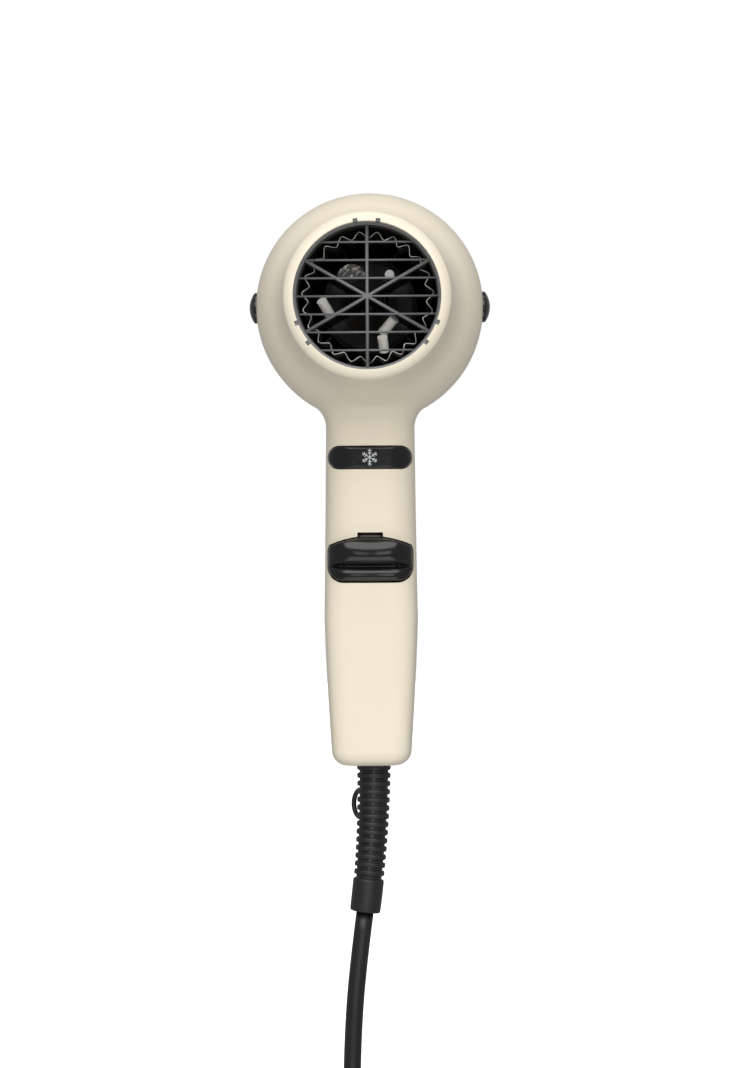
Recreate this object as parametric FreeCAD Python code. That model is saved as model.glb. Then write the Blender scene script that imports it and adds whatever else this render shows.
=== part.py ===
# Hand-held hair dryer: barrel along -Y, handle down -Z, origin at the middle of the grip, millimetres.
import FreeCAD, Part
import math
import os
from FreeCAD import Vector as V

# ---- barrel -------------------------------------------------------------------------------------
barrel_z = 141.0          # barrel's axis above the middle of the grip
dome_r = 48.0             # widest radius of the barrel
dome_flat = 14.0          # the widest radius is kept from y = 0 to here
tip_y = -72.0             # front-most edge of the lip
mouth_r = 30.0            # bore of the lip, where a nozzle pushes in
mouth_depth = 5.0
lip_r = mouth_r + 4.0     # outer radius of the lip
lip_set_back = 2.4        # the lip's outer edge lies this far behind its inner edge
nozzle_taper = 2.9        # degrees, of the tube behind the lip
blend_r = 40.0            # hollow curve between that tube and the dome
tail_r = dome_r + 4.6     # curve of the barrel's rear
rear_y = 44.0             # rear edge of the barrel, where the filter cap sits
wall = 2.2
seam = 0.25               # parting line between the two shells
gap = 0.3                 # clearance between pieces that don't touch

# ---- handle -------------------------------------------------------------------------------------
handle_top_z = barrel_z - 30.0
crease_z = 10.0           # height at which the flat lower front comes out of the round upper one
handle_bottom_z = -51.8
neck_half_w = 18.45
belly_half_w = 19.5
foot_taper = 3.3          # how much the half width shrinks from the crease to the foot
neck_front_y = -20.0
belly_front_y = -21.0
foot_front_y = -25.2
neck_back_y = 22.0
belly_back_y = 14.8
foot_back_y = 8.0
upper_power = 3.0         # roundness of the section: 2 is an ellipse, higher is squarer
lower_power = 4.6
foot_r = 5.8              # rounding of the handle's lower edge
square_from_z = 52.0      # from here down to the crease the section grows squarer
neck_r = 11.0             # fillet between barrel and handle
section_points = 28

# ---- buttons ------------------------------------------------------------------------------------
cool_z = 77.0
cool_w = 34.9
cool_h = 9.1
cool_proud = 0.8
cool_travel = 2.0
cool_back_y = -13.2
snow_r = 3.5              # snowflake mark let into the button
snow_line = 0.32
snow_floor_y = -20.85
rocker_z = 34.4
rocker_w = 35.3
rocker_h = 18.4
rocker_pivot_y = -16.5
rocker_front_y = -25.4
rocker_corner_r = 6.5
rocker_arch_r = 42.0      # arch of the rocker's upper edge
rocker_tilt_gap = 0.2     # more room over the arch for the rocker's tilt
tab_w = 9.9               # ridge on the middle of the rocker's upper edge
tab_h = 1.05
pivot_pin_r = 1.25
running = 0.07            # radial clearance of a turning fit
button_gap = 0.4

# ---- air path -----------------------------------------------------------------------------------
duct_r = dome_r - 12.0
duct_wall = 1.6
duct_front_y = -6.0
duct_rear_y = 37.0
motor_r = 18.2
motor_front_y = -5.0
motor_rear_y = 18.0
shaft_r = 1.15
bush_r = 4.2
fan_front_y = 21.0
fan_rear_y = 33.0
fan_hub_r = 11.0
blade_count = 9
vane_count = 7
heater_r = mouth_r - 1.6
heater_front_y = -62.0
heater_rear_y = -16.0
wave_inner_r = heater_r - 4.5   # the heating wire's waves lie between these radii
wave_outer_r = heater_r - 1.2
wire_rows = 6
board_t = 0.6
grille_depth = 2.5
grille_bar = 0.95
grille_spoke = 1.5
bar_pitch = mouth_r * 0.2433
grille_tab_angle = 8.7    # degrees each side of a pair's middle

# ---- screws -------------------------------------------------------------------------------------
screw_places = [(0.0, 57.0), (0.0, -21.0)]
screw_r = 1.3
screw_head_r = 2.7
screw_seat_y = 8.0
clamp_z = handle_bottom_z + 13.8
clamp_x = 8.5
cup_floor = dome_r - 5.8  # seat of the side screws
cup_r = 5.3
side_screw_r = 1.5

# ---- cap, relief and cord -----------------------------------------------------------------------
side_cap_y = 2.0
side_cap_r = 6.5
side_cap_proud = 2.9
rear_cap_end_y = 62.0
skirt_len = 6.0
cap_wall = 2.0
slot_rings = 5
relief_x = 0.9
relief_neck_r = 5.0
relief_y = -8.6
relief_len = 62.2
relief_lean = 7.5         # degrees, how far the relief has turned at its end
relief_r = 7.1
relief_narrowing = 0.7    # how much slimmer the last rib is
relief_spine_w = 2.2      # bridge that joins the ribs at front and back
rib_count = 14
rib_pitch = 3.4
sleeve_r = 6.5
cord_r = 3.75
floor_z = -236.0          # what the spare cord lies on
coil_x = 41.6
coil_y = 79.0
coil_mid_r = 43.1
coil_tracks = 3           # cords side by side across the coil's band
coil_layers = 4
pin_r = 2.4
pin_len = 19.0
pin_spacing = 19.0
plug_w = 26.0
plug_t = 14.0
plug_len = 36.0
plug_end_y = -14.0
plug_x = 87.0

# The cord's route, chosen point by point: on from the relief's end, then back along the floor.
straight_run = 25.4
inner_cord_top_z = handle_bottom_z + 21.8
cord_route = [
    (-8.4, -8.0, -164.5),
    (-9.2, -3.6, -190.0),
    (-9.4, 8.6, -212.0),
    (-9.3, 29.5, -227.0),
    (-9.1, 54.0, -232.25),
    (-9.0, 79.0, -232.25),
]
tail_route = [
    (88.5, 79.0, -209.75),
    (88.5, 56.0, -211.5),
    (88.2, 34.0, -219.5),
    (87.4, 14.0, -227.6),
    (plug_x, 2.0, floor_z + plug_t / 2),
    (plug_x, plug_end_y, floor_z + plug_t / 2),
]

os.makedirs("parts", exist_ok=True)


# ---- helpers ------------------------------------------------------------------------------------
def save(name, shape):
    shape.exportStep("parts/" + name + ".step")
    print(name, "solids", len(shape.Solids), "valid", shape.isValid(), "cm3", round(shape.Volume / 1000, 2))


def on_barrel(shape):
    # pieces of the barrel are drawn about the Y axis and lifted onto the barrel's own axis
    return shape.translated(V(0, 0, barrel_z))


def rod_y(radius, y0, y1, x=0.0, z=0.0):
    return Part.makeCylinder(radius, y1 - y0, V(x, y0, z), V(0, 1, 0))


def rod_x(radius, x0, x1, y=0.0, z=0.0):
    return Part.makeCylinder(radius, x1 - x0, V(x0, y, z), V(1, 0, 0))


def rod_z(radius, z0, z1, x=0.0, y=0.0):
    return Part.makeCylinder(radius, z1 - z0, V(x, y, z0), V(0, 0, 1))


def tube_y(outer, inner, y0, y1):
    return rod_y(outer, y0, y1).cut(rod_y(inner, y0 - 1, y1 + 1))


def block(x0, x1, y0, y1, z0, z1):
    return Part.makeBox(x1 - x0, y1 - y0, z1 - z0, V(x0, y0, z0))


def group(shapes):
    # separate solids kept in one node
    return Part.makeCompound(shapes)


def fused(shapes):
    return shapes[0].multiFuse(shapes[1:]).removeSplitter()


def turned_y(points):
    # a closed outline of (y, radius) points turned about the Y axis
    outline = Part.makePolygon([V(0, y, r) for y, r in points + points[:1]])
    return Part.Face(outline).revolve(V(0, 0, 0), V(0, 1, 0), 360)


def plate_xz(points, y0, y1):
    outline = Part.makePolygon([V(x, y0, z) for x, z in points + points[:1]])
    return Part.Face(outline).extrude(V(0, y1 - y0, 0))


def rounded_bar(width, height, radius, y0, y1, z):
    # a rectangle with round corners in XZ, extruded along Y
    bar = block(-width / 2, width / 2, y0, y1, z - height / 2, z + height / 2)
    corners = [e for e in bar.Edges if abs(e.tangentAt(e.FirstParameter).y) > 0.99]
    return bar.makeFillet(min(radius, height / 2 - 0.01), corners)


def bent_tube(route, radius, label):
    # straight runs joined by tangent arcs, as large as the two runs beside each point allow
    points = [V(*p) for p in route]
    edges = []
    start = points[0]
    bends = []
    for before, here, after in zip(points, points[1:], points[2:]):
        back = before - here
        ahead = after - here
        turn = math.pi - back.getAngle(ahead)
        reach = 0.45 * min(back.Length, ahead.Length)
        bends.append(reach / math.tan(turn / 2))
        into = here + back.normalize() * reach
        out = here + ahead.normalize() * reach
        middle = (into + out) * 0.5
        bulge = bends[-1] * (1 / math.cos(turn / 2) - 1)
        crown = here + (middle - here).normalize() * bulge
        edges.append(Part.LineSegment(start, into).toShape())
        edges.append(Part.Arc(into, crown, out).toShape())
        start = out
    edges.append(Part.LineSegment(start, points[-1]).toShape())
    path = Part.Wire(edges)
    ring = Part.Wire([Part.Circle(points[0], points[1] - points[0], radius).toShape()])
    solid = path.makePipeShell([ring], True, True)
    print(label, "least bend", round(min(bends), 1), "length", round(path.Length, 1),
          "volume ratio", round(solid.Volume / (math.pi * radius ** 2 * path.Length), 4))
    return solid


# ---- outer form ---------------------------------------------------------------------------------
def nozzle_points(inset):
    # ends of the straight nozzle line, of the hollow blend and of the dome, as (y, radius) vectors
    lean = math.radians(nozzle_taper)
    along = V(0, math.cos(lean), math.sin(lean))
    outward = V(0, -math.sin(lean), math.cos(lean))
    start = V(0, tip_y + lip_set_back, lip_r) - outward * inset
    ball = dome_r - inset
    hollow = blend_r + inset
    offset = start + outward * hollow
    half = offset.dot(along)
    run = -half - math.sqrt(half ** 2 - offset.dot(offset) + (ball + hollow) ** 2)
    centre = offset + along * run
    line_end = start + along * run
    dome_start = centre * (ball / (ball + hollow))
    blend_mid = centre + ((line_end - centre) + (dome_start - centre)).normalize() * hollow
    return start, line_end, blend_mid, dome_start


def tail_radius(y, inset):
    return dome_r - tail_r + math.sqrt((tail_r - inset) ** 2 - (y - dome_flat) ** 2)


def barrel_solid(inset, front_y, end_y):
    # the barrel's outer form moved inwards by inset, cut off square at front_y and end_y
    start, line_end, blend_mid, dome_start = nozzle_points(inset)
    ball = dome_r - inset
    crown = V(0, 0, ball)
    dome_mid = (dome_start + crown).normalize() * ball
    middle_y = (dome_flat + end_y) / 2
    if inset == 0:
        inner = V(0, tip_y, mouth_r + 0.4)
        swell = V(0, tip_y + 0.35 * lip_set_back, (mouth_r + lip_r) / 2 + 0.6)
        front = [Part.LineSegment(V(0, tip_y, 0), inner), Part.Arc(inner, swell, start)]
    else:
        slope = math.tan(math.radians(nozzle_taper))
        start = V(0, front_y, start.z + (front_y - start.y) * slope)
        front = [Part.LineSegment(V(0, front_y, 0), start)]
    end = V(0, end_y, tail_radius(end_y, inset))
    lines = front + [
        Part.LineSegment(start, line_end),
        Part.Arc(line_end, blend_mid, dome_start),
        Part.Arc(dome_start, dome_mid, crown),
        Part.LineSegment(crown, V(0, dome_flat, ball)),
        Part.Arc(V(0, dome_flat, ball), V(0, middle_y, tail_radius(middle_y, inset)), end),
        Part.LineSegment(end, V(0, end_y, 0)),
        Part.LineSegment(V(0, end_y, 0), front[0].StartPoint),
    ]
    outline = Part.Wire([line.toShape() for line in lines])
    return on_barrel(Part.Face(outline).revolve(V(0, 0, 0), V(0, 1, 0), 360))


def section(z, half_w, front_y, back_y, power):
    # a superellipse across the handle
    half_d = (back_y - front_y) / 2
    middle = (back_y + front_y) / 2
    points = []
    for i in range(section_points):
        angle = 2 * math.pi * i / section_points
        c = math.cos(angle)
        s = math.sin(angle)
        x = half_w * math.copysign(abs(c) ** (2 / power), c)
        y = middle + half_d * math.copysign(abs(s) ** (2 / power), s)
        points.append(V(x, y, z))
    curve = Part.BSplineCurve()
    curve.interpolate(points, PeriodicFlag=True)
    return Part.Wire([curve.toShape()])


def upper_section(z, inset, power):
    down = (handle_top_z - z) / (handle_top_z - crease_z)
    half_w = neck_half_w + (belly_half_w - neck_half_w) * down
    front = neck_front_y + (belly_front_y - neck_front_y) * down
    back = neck_back_y + (belly_back_y - neck_back_y) * down
    return section(z, half_w - inset, front + inset, back - inset, power)


def lower_section(z, inset):
    down = (crease_z - z) / (crease_z - handle_bottom_z)
    half_w = belly_half_w - foot_taper * max(down, 0) ** 1.3
    front = belly_front_y + (foot_front_y - belly_front_y) * down
    back = belly_back_y + (foot_back_y - belly_back_y) * down
    return section(z, half_w - inset, front + inset, back - inset, lower_power)


def handle_upper(inset, low):
    ends = [upper_section(z, inset, upper_power) for z in (handle_top_z, low)]
    return Part.makeLoft(ends, True, True)


def handle_middle():
    levels = []
    for k in range(6):
        share = k / 5
        power = upper_power + (lower_power - upper_power) * share ** 1.5
        levels.append(upper_section(square_from_z + (crease_z - square_from_z) * share, 0, power))
    return Part.makeLoft(levels, True, False)


def handle_lower(inset):
    top = crease_z if inset == 0 else crease_z - 2.0
    bend = handle_bottom_z + foot_r
    heights = [top + (bend - top) * k / 4 for k in range(5)]
    levels = [lower_section(z, inset) for z in heights]
    if inset > 0:
        return Part.makeLoft(levels + [lower_section(bend - foot_r + inset, inset + 2.0)], True, True)
    shaft = Part.makeLoft(levels, True, False)
    rounds = []
    for k in range(8):
        angle = math.pi / 2 * k / 7
        rounds.append(lower_section(bend - foot_r * math.sin(angle), foot_r * (1 - math.cos(angle)) * 0.98))
    return shaft.fuse(Part.makeLoft(rounds, True, False))


def outer_body():
    body = barrel_solid(0, tip_y, rear_y).fuse(handle_upper(0, square_from_z))
    neck = []
    for edge in body.Edges:
        box = edge.BoundBox
        low = barrel_z - dome_r + 6
        if box.ZMax < low and box.ZMin > barrel_z - dome_r - 2 and box.YMin < rear_y - 5 and box.XMax > 5:
            neck.append(edge)
    return body.makeFillet(neck_r, neck).fuse(handle_middle()).fuse(handle_lower(0))


def inner_body():
    barrel = barrel_solid(wall, tip_y + mouth_depth, rear_y + 2)
    return barrel.fuse(handle_upper(wall, crease_z - 5.0)).fuse(handle_lower(wall))


def rear_half():
    # everything behind the parting surface, which follows the handle's lean
    top = barrel_z + 80
    line = [(dome_flat, top), (dome_flat, handle_top_z - 10), (1.0, 86), (-1.4, 40), (-2.6, 5),
            (-8.6, handle_bottom_z - 8), (90, handle_bottom_z - 8), (90, top)]
    outline = Part.makePolygon([V(-70, y, z) for y, z in line + line[:1]])
    return Part.Face(outline).extrude(V(140, 0, 0))


# ---- shells -------------------------------------------------------------------------------------
def screw_bosses():
    return [rod_y(3.4, -40, 40, x, z) for x, z in screw_places]


def side_rod(side, radius, near, far):
    # a rod along X on the left (-1) or the right (1), between two distances from the axis
    return rod_x(radius, min(side * near, side * far), max(side * near, side * far), side_cap_y)


def side_cups():
    cups = []
    for side in (-1, 1):
        cups.append(on_barrel(side_rod(side, cup_r + 1.5, cup_floor - 1.2, dome_r - 1.4)))
    return cups


def side_holes():
    holes = []
    for side in (-1, 1):
        holes.append(side_rod(side, cup_r, cup_floor, dome_r + 12))
        holes.append(side_rod(side, side_cap_r + gap, dome_r - 0.6, dome_r + 12))
        holes.append(side_rod(side, side_screw_r + 0.2, cup_floor - 2.2, cup_floor + 1.8))
    return [on_barrel(hole) for hole in holes]


def tab_angles():
    angles = []
    for middle in (90, 210, 330):
        angles += [middle - grille_tab_angle, middle + grille_tab_angle]
    return angles


def radial_block(r0, r1, width, y0, y1, angle):
    return block(r0, r1, y0, y1, -width / 2, width / 2).rotated(V(0, 0, 0), V(0, 1, 0), -angle)


def rocker_outline(grow, tilt_room, y1):
    # a bar with round corners under an arched upper edge
    height = rocker_h + 2 * grow + 2 * tilt_room
    bar = rounded_bar(rocker_w + 2 * grow, height, rocker_corner_r + grow, -40, y1, rocker_z)
    return bar.common(rod_y(rocker_arch_r, -41, y1 + 1, 0, rocker_z + height / 2 - rocker_arch_r))


def button_holes():
    cool = rounded_bar(cool_w + 2 * button_gap, cool_h + 2 * button_gap, 9, -40, cool_back_y + 3.2, cool_z)
    rocker = rocker_outline(button_gap, rocker_tilt_gap, -8.5)
    half = tab_w / 2 + button_gap
    notch = block(-half, half, -40, rocker_pivot_y, rocker_z, rocker_z + rocker_h / 2 + tab_h + 1.0)
    return [cool, rocker, notch]


def shells():
    outer = outer_body()
    inner = inner_body()
    bosses = fused(screw_bosses()).common(inner)
    cups = fused(side_cups()).common(outer)
    skin = outer.cut(inner).fuse(bosses).fuse(cups)
    cuts = side_holes() + button_holes()
    cuts.append(on_barrel(rod_y(mouth_r, tip_y - 1, tip_y + mouth_depth + 1)))
    cuts.append(rod_z(relief_neck_r + 0.1, handle_bottom_z - 5, handle_bottom_z + 9, relief_x, relief_y))
    for angle in tab_angles():
        notch = radial_block(mouth_r - 2, mouth_r + 1.3, 1.9, tip_y - 1, tip_y + mouth_depth + 1, angle)
        cuts.append(on_barrel(notch))
    for x, z in screw_places:
        cuts.append(rod_y(screw_r + 0.05, -17, 40, x, z))
        cuts.append(rod_y(screw_head_r + gap, screw_seat_y, 40, x, z))
    skin = skin.cut(fused(cuts))
    back = rear_half()
    front_shell = skin.cut(back)
    rear_shell = skin.common(back.translated(V(0, seam, 0)))
    posts = []
    for x in (-clamp_x, clamp_x):
        posts.append(rod_y(2.6, relief_y - 3.6, 15, x, clamp_z).common(outer))
    rear_shell = rear_shell.fuse(fused(posts))
    for x in (-clamp_x, clamp_x):
        rear_shell = rear_shell.cut(rod_y(1.15, relief_y - 5, relief_y + 4, x, clamp_z))
    return front_shell, rear_shell


# ---- fasteners ----------------------------------------------------------------------------------
def screw(length, shank_r, head_r, head_t):
    # a pan-head screw that points along +Y with its head's seat at y = 0 and a cross recess
    body = rod_y(shank_r, 0, length).fuse(rod_y(head_r, -head_t, 0))
    slot = 0.55
    body = body.cut(block(-head_r * 0.62, head_r * 0.62, -head_t - 1, -head_t * 0.45, -slot / 2, slot / 2))
    return body.cut(block(-slot / 2, slot / 2, -head_t - 1, -head_t * 0.45, -head_r * 0.62, head_r * 0.62))


def handle_screws():
    screws = []
    for x, z in screw_places:
        one = screw(screw_seat_y + 15.5, screw_r, screw_head_r, 1.9).rotated(V(0, 0, 0), V(0, 0, 1), 180)
        screws.append(one.translated(V(x, screw_seat_y, z)))
    return group(screws)


def side_screws():
    screws = []
    for side in (-1, 1):
        one = screw(6.2, side_screw_r, 2.9, 1.7).rotated(V(0, 0, 0), V(0, 0, 1), 90 * side)
        screws.append(on_barrel(one.translated(V(side * cup_floor, side_cap_y, 0))))
    return group(screws)


def clamp_screws():
    screws = []
    for x in (-clamp_x, clamp_x):
        screws.append(screw(8.0, 1.1, 2.3, 1.5).translated(V(x, relief_y - cord_r - 2.6, clamp_z)))
    return group(screws)


# ---- barrel pieces ------------------------------------------------------------------------------
def front_grille():
    y0 = tip_y + mouth_depth + 0.1
    y1 = y0 + grille_depth
    rim = tube_y(mouth_r + 1.5, mouth_r - 1.2, y0, y1)
    bars = []
    reach = mouth_r - 0.8
    for row in range(-3, 4):
        z = row * bar_pitch
        half = math.sqrt(reach ** 2 - z ** 2)
        bars.append(block(-half, half, y0, y1, z - grille_bar / 2, z + grille_bar / 2))
    for angle in (30, 90, 150):
        spoke = block(-reach, reach, y0 - 0.2, y1, -grille_spoke / 2, grille_spoke / 2)
        bars.append(spoke.rotated(V(0, 0, 0), V(0, 1, 0), -angle))
    tabs = [radial_block(mouth_r + 0.05, mouth_r + 1.1, 1.5, tip_y + 0.8, y1, angle) for angle in tab_angles()]
    return on_barrel(fused([rim] + bars + tabs))


def side_cap(side):
    base = dome_r - 0.55
    stem = rod_x(cup_r - 0.1, cup_floor + 2.2, base + 0.15)
    edge = base + 1.3
    rise = dome_r + side_cap_proud - edge
    ball_r = (side_cap_r ** 2 + rise ** 2) / (2 * rise)
    ball = Part.makeSphere(ball_r, V(edge + rise - ball_r, 0, 0))
    dome = rod_x(side_cap_r, base, edge + rise).common(ball)
    rim = [e for e in dome.Edges if abs(e.BoundBox.XMax - edge) < 0.05 and e.BoundBox.XLength < 0.01]
    cap = stem.fuse(dome.makeFillet(0.9, rim))
    if side < 0:
        cap = cap.rotated(V(0, 0, 0), V(0, 0, 1), 180)
    return on_barrel(cap.translated(V(0, side_cap_y, 0)))


def fan_duct():
    shell = tube_y(duct_r, duct_r - duct_wall, duct_front_y, duct_rear_y)
    cup = tube_y(motor_r + 1.8, motor_r + 0.2, motor_front_y + 1, motor_rear_y)
    pieces = [shell, cup]
    for k in range(vane_count):
        angle = 360 * k / vane_count + 12
        pieces.append(radial_block(motor_r + 1.0, duct_r - duct_wall / 2, 1.2, 2, motor_rear_y - 1, angle))
    for side in (-1, 1):
        pieces.append(side_rod(side, 3.6, duct_r - 1.0, cup_floor - 1.4))
    duct = fused(pieces)
    for side in (-1, 1):
        duct = duct.cut(side_rod(side, side_screw_r + 0.02, duct_r - 0.5, cup_floor))
    return on_barrel(duct)


def motor_can():
    inner = motor_r - 0.9
    body = turned_y([(motor_front_y, bush_r + 0.02), (motor_front_y, motor_r), (motor_rear_y, motor_r),
                     (motor_rear_y, inner), (motor_front_y + 0.9, inner), (motor_front_y + 0.9, bush_r + 0.02)])
    return on_barrel(body.cut(block(-motor_r, motor_r, motor_front_y + 5, motor_front_y + 9, -2.5, 2.5)))


def motor_end_cap():
    y = motor_rear_y
    return on_barrel(turned_y([(y + 0.05, 3.0), (y + 0.05, motor_r), (y + 1.6, motor_r),
                               (y + 1.6, 6.0), (y + 2.6, 5.0), (y + 2.6, 3.0)]))


def motor_bushes():
    front = turned_y([(motor_front_y - 1.4, shaft_r + 0.05), (motor_front_y - 1.4, bush_r),
                      (motor_front_y + 1.6, bush_r), (motor_front_y + 1.6, shaft_r + 0.05)])
    rear = turned_y([(motor_rear_y - 0.6, shaft_r + 0.05), (motor_rear_y - 0.6, 3.0),
                     (motor_rear_y + 2.4, 3.0), (motor_rear_y + 2.4, shaft_r + 0.05)])
    return on_barrel(group([front, rear]))


def motor_magnets():
    ring = tube_y(motor_r - 0.95, motor_r - 3.4, motor_front_y + 3, motor_rear_y - 6)
    return on_barrel(ring.cut(block(-4.5, 4.5, -30, 40, -30, 30)))


def armature():
    core = rod_y(motor_r - 4.0, motor_front_y + 4, motor_rear_y - 8).cut(rod_y(shaft_r, -30, 40))
    for k in range(5):
        core = core.cut(radial_block(5.5, motor_r, 2.6, -30, 40, 72 * k))
    return on_barrel(core)


def armature_windings():
    coils = []
    for k in range(5):
        coils.append(radial_block(6.4, motor_r - 5.0, 2.2, motor_front_y + 3, motor_rear_y - 7, 72 * k))
    return on_barrel(group(coils))


def commutator():
    ring = tube_y(3.6, shaft_r, motor_rear_y - 5.5, motor_rear_y - 1.4)
    for k in range(5):
        ring = ring.cut(radial_block(3.1, 4, 0.35, -30, 40, 72 * k + 36))
    return on_barrel(ring)


def motor_brushes():
    brushes = []
    for angle in (0, 180):
        brushes.append(radial_block(3.7, 8.2, 2.4, motor_rear_y - 4.8, motor_rear_y - 2.2, angle))
    return on_barrel(group(brushes))


def rotor_shaft():
    return on_barrel(rod_y(shaft_r, motor_front_y - 2.4, fan_rear_y - 1))


def fan():
    fan_r = duct_r - duct_wall - 0.9
    rotor = turned_y([(fan_front_y, shaft_r), (fan_front_y, fan_hub_r), (fan_rear_y - 4, fan_hub_r),
                      (fan_rear_y - 1, fan_hub_r * 0.72), (fan_rear_y, fan_hub_r * 0.35), (fan_rear_y, shaft_r)])
    edges = [blade_edge(fan_hub_r - 1.0, 5.6, 46.0), blade_edge(fan_r + 1.0, 12.4, 68.0)]
    blade = Part.makeLoft(edges, True, True).common(rod_y(fan_r, fan_front_y, fan_rear_y))
    for k in range(blade_count):
        rotor = rotor.fuse(blade.rotated(V(0, 0, 0), V(0, 1, 0), 360 * k / blade_count))
    return on_barrel(rotor)


def blade_edge(radius, half_chord, pitch):
    # a thin slanted section of a blade at one radius; pitch is its angle from the shaft in degrees
    half_t = 0.6
    lean = math.radians(pitch)
    middle = (fan_front_y + fan_rear_y) / 2 - 1
    points = []
    for along, across in ((-1, -1), (1, -1), (1, 1), (-1, 1)):
        y = along * half_chord * math.cos(lean) - across * half_t * math.sin(lean)
        x = along * half_chord * math.sin(lean) + across * half_t * math.cos(lean)
        points.append(V(x, middle + y, radius))
    return Part.makePolygon(points + points[:1])


def rectifier_board():
    y1 = motor_front_y - 3.0
    return on_barrel(rod_y(12.0, y1 - 1.2, y1).cut(rod_y(1.6, y1 - 5, y1 + 5)))


def diodes():
    y1 = motor_front_y - 4.2
    pieces = []
    for x in (-6.6, -3.0, 3.0, 6.6):
        pieces.append(rod_z(1.3, -3.5, 3.5, x, y1 - 1.4))
    return on_barrel(group(pieces))


# ---- heater -------------------------------------------------------------------------------------
def wire_row_places():
    pitch = (heater_rear_y - heater_front_y - 9) / (wire_rows - 1)
    return [heater_front_y + 4 + row * pitch for row in range(wire_rows)]


def heater_boards():
    boards = []
    for angle in (30, 90, 150):
        reach = heater_r - gap
        boards.append(radial_block(-reach, reach, board_t, heater_front_y + 1, heater_rear_y - 1, angle))
    cross = fused(boards)
    for y in wire_row_places():
        cross = cross.cut(tube_y(heater_r + 2, wave_inner_r - gap, y - gap, y + 0.8 + gap))
    return on_barrel(cross)


def heater_wires():
    return on_barrel(group([tube_y(wave_outer_r, wave_inner_r, y, y + 0.8) for y in wire_row_places()]))


def heater_sleeve():
    return on_barrel(tube_y(heater_r + 0.5, heater_r, heater_front_y, heater_rear_y))


def mica_bracket():
    disc = rod_y(6.0, -51, -50.3, -6.6, 8.2)
    return on_barrel(disc.common(block(-12.5, -0.7, -60, -40, 8.2, 16)))


def thermostat():
    return on_barrel(block(-9.5, -2.0, -49.8, -38, 9.0, 12.4).fuse(rod_y(0.9, -50.2, -49.8, -6, 10.7)))


def thermal_fuse():
    return on_barrel(rod_y(1.9, -46, -35, 8.9, 10.2))


def lead_sleeves():
    # woven sleeves on the heater's leads: middle as shares of the heater's radius, direction and length
    places = [((-0.6, -0.137), (0.45, 0.55, -0.75), -54.0, 8.0),
              ((0.296, -0.394), (-0.62, 0.45, -0.7), -53.0, 8.5),
              ((0.222, -0.662), (0.12, 0.5, -0.9), -55.0, 6.5)]
    sleeves = []
    for share, direction, y, length in places:
        way = V(*direction).normalize()
        start = V(share[0] * heater_r, y, share[1] * heater_r) - way * (length / 2)
        sleeves.append(Part.makeCylinder(2.1, length, start, way))
    return on_barrel(group(sleeves))


# ---- filter cap ---------------------------------------------------------------------------------
def rear_cap():
    rim_r = tail_radius(rear_y, 0) - 0.3
    start = rear_y + gap
    skirt_r = tail_radius(rear_y, wall) - 0.5
    cap = cap_form(rim_r, start, 0).cut(cap_form(rim_r, start, cap_wall))
    cap = cap.fuse(tube_y(rim_r - 0.4, skirt_r - 1.6, start, start + 1.8))
    cap = cap.fuse(tube_y(skirt_r, skirt_r - 1.6, start - skirt_len, start + 1.8))
    slots = []
    pitch = (rim_r - 11.8) / slot_rings
    for ring in range(slot_rings):
        count = 12 + 8 * ring
        radius = 5.5 + pitch * ring
        for k in range(count):
            slot = radial_block(radius, radius + 0.7 * pitch, 2.0, start + 3.5, rear_cap_end_y + 5, 0)
            slots.append(slot.rotated(V(0, 0, 0), V(0, 1, 0), -360 * k / count))
    return on_barrel(cap.cut(Part.makeCompound(slots)))


def cap_form(rim_r, start, inset):
    # a dome that closes the barrel's rear: a round flank, then part of a ball
    flank_y = rear_cap_end_y - 4.5
    flank_r = rim_r * 0.72
    rise = rear_cap_end_y - flank_y
    ball_r = (flank_r ** 2 + rise ** 2) / (2 * rise)
    centre_y = rear_cap_end_y - ball_r
    lean = math.asin(flank_r / ball_r)
    ball = ball_r - inset
    flank = V(0, centre_y + ball * math.cos(lean), ball * math.sin(lean))
    crown = V(0, centre_y + ball * math.cos(lean / 2), ball * math.sin(lean / 2))
    bulge = V(0, (start + flank_y) / 2 + 2.6 - 0.7 * inset, (rim_r + flank_r) / 2 + 2.9 - 0.7 * inset)
    lines = [
        Part.LineSegment(V(0, start, 0), V(0, start, rim_r - inset)),
        Part.Arc(V(0, start, rim_r - inset), bulge, flank),
        Part.Arc(flank, crown, V(0, centre_y + ball, 0)),
        Part.LineSegment(V(0, centre_y + ball, 0), V(0, start, 0)),
    ]
    outline = Part.Wire([line.toShape() for line in lines])
    return Part.Face(outline).revolve(V(0, 0, 0), V(0, 1, 0), 360)


def filter_mesh():
    # the lint filter that sits in the cap's skirt: a rim and crossed wires
    y0 = rear_y - 1.0
    radius = tail_radius(rear_y, wall) - 2.3
    pieces = [tube_y(radius, radius - 1.5, y0, y0 + 1.4)]
    pitch = 4.0
    rows = int((radius - 2) // pitch)
    for k in range(-rows, rows + 1):
        half = math.sqrt((radius - 0.8) ** 2 - (k * pitch) ** 2)
        pieces.append(block(-half, half, y0 + 0.4, y0 + 0.9, k * pitch - 0.25, k * pitch + 0.25))
        pieces.append(block(k * pitch - 0.25, k * pitch + 0.25, y0 + 0.4, y0 + 0.9, -half, half))
    return on_barrel(fused(pieces))


# ---- buttons ------------------------------------------------------------------------------------
def cool_button():
    pill = rounded_bar(cool_w, cool_h, 9, -40, cool_back_y, cool_z)
    face = pill.common(handle_upper(-cool_proud, crease_z))
    flange = rounded_bar(25.0, cool_h + 3.0, 2.0, cool_back_y - 1.2, cool_back_y, cool_z)
    return face.fuse(flange).cut(snowflake_form())


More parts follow.
